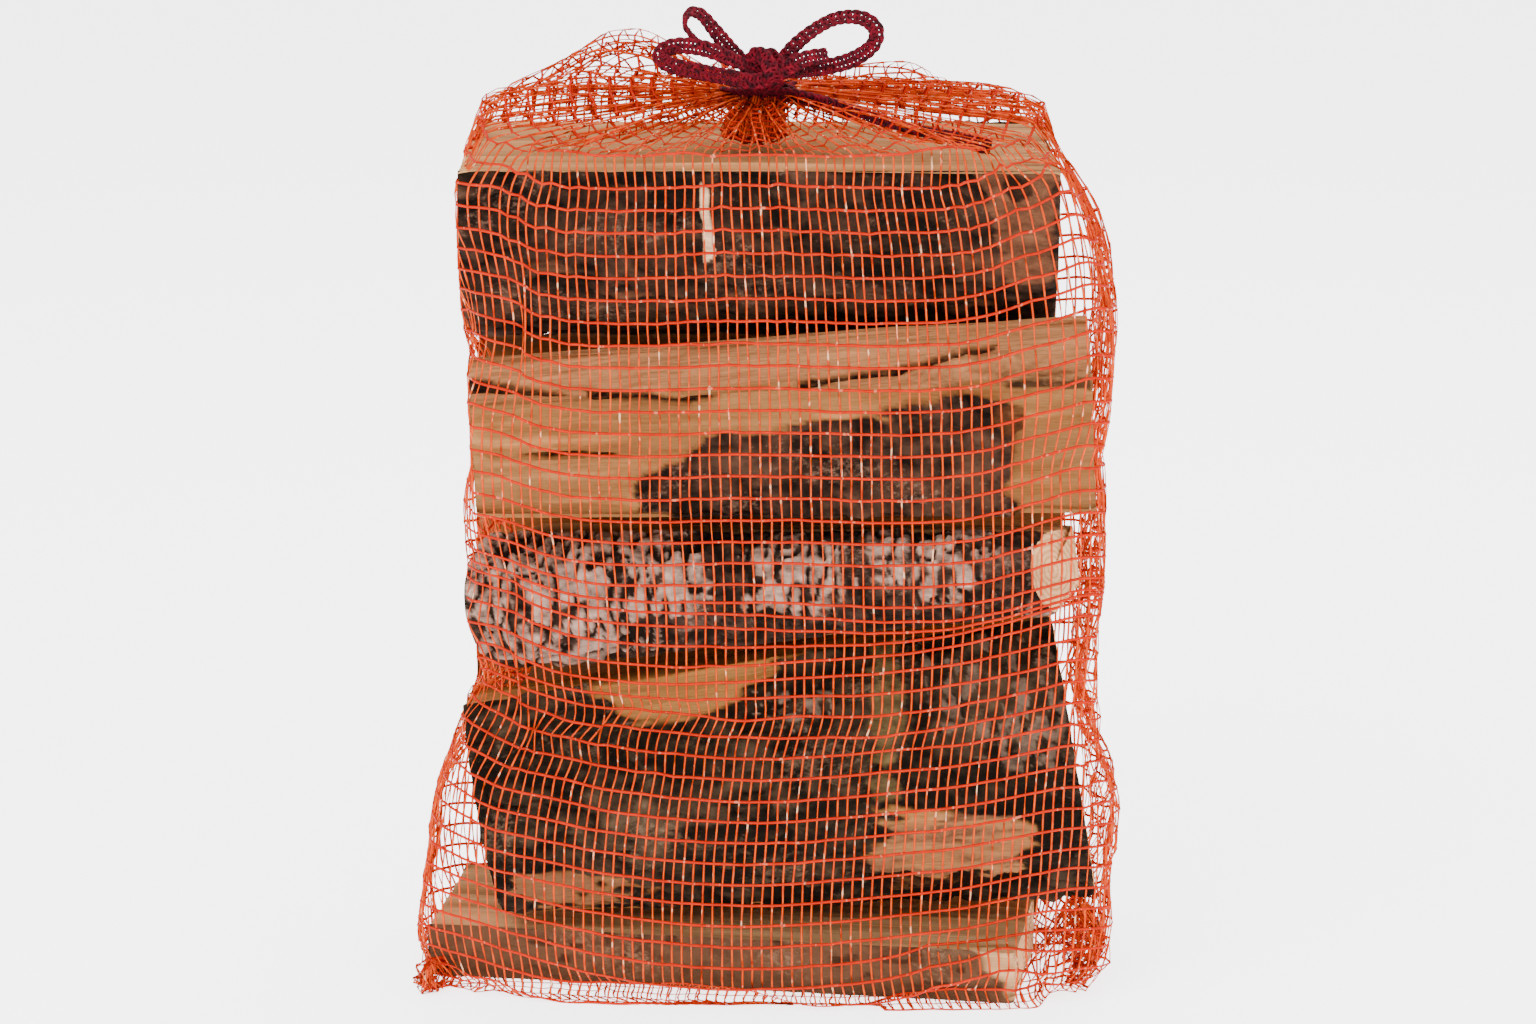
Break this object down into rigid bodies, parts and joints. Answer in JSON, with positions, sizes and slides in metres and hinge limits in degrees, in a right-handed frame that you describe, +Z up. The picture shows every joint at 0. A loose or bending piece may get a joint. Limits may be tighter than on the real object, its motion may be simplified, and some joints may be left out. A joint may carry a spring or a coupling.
{
  "type": "firewood bundle",
  "caption": "Net bag packed with split firewood logs lying lengthwise, its mouth drawn together and tied on top with a knitted band in a bow.",
  "frame": {"origin": "middle of the bag's outline, on the surface that the bag stands on", "axes": "+Z up along the bag to its tied mouth, X along the logs with +X to the right seen from the front, +Y from the front to the back"},
  "size_m": [0.3599, 0.2074, 0.5107],
  "materials": {
    "dark_rough_bark": "rough dark brown bark over pale split wood",
    "brown_bark": "rough brown bark over pale split wood",
    "birch_bark": "scaly birch bark, pinkish white with dark patches",
    "weathered_split_wood": "split wood gone tan, with streaks and patches of bark",
    "orange_net": "orange-red knitted plastic tape, slightly shiny",
    "crimson_band": "open crochet in dark crimson yarn"
  },
  "bodies": {
    "root": {"log_top_half_round": "dark_rough_bark", "log_second_front": "weathered_split_wood", "log_second_back": "brown_bark", "log_third_front_birch": "birch_bark", "log_third_back": "brown_bark", "log_fourth_front_large": "dark_rough_bark", "log_fourth_back": "dark_rough_bark", "log_fifth_front_slab": "weathered_split_wood", "log_fifth_back": "brown_bark", "net_bag": "orange_net", "tie_band": "crimson_band"}
  },
  "joints": []
}
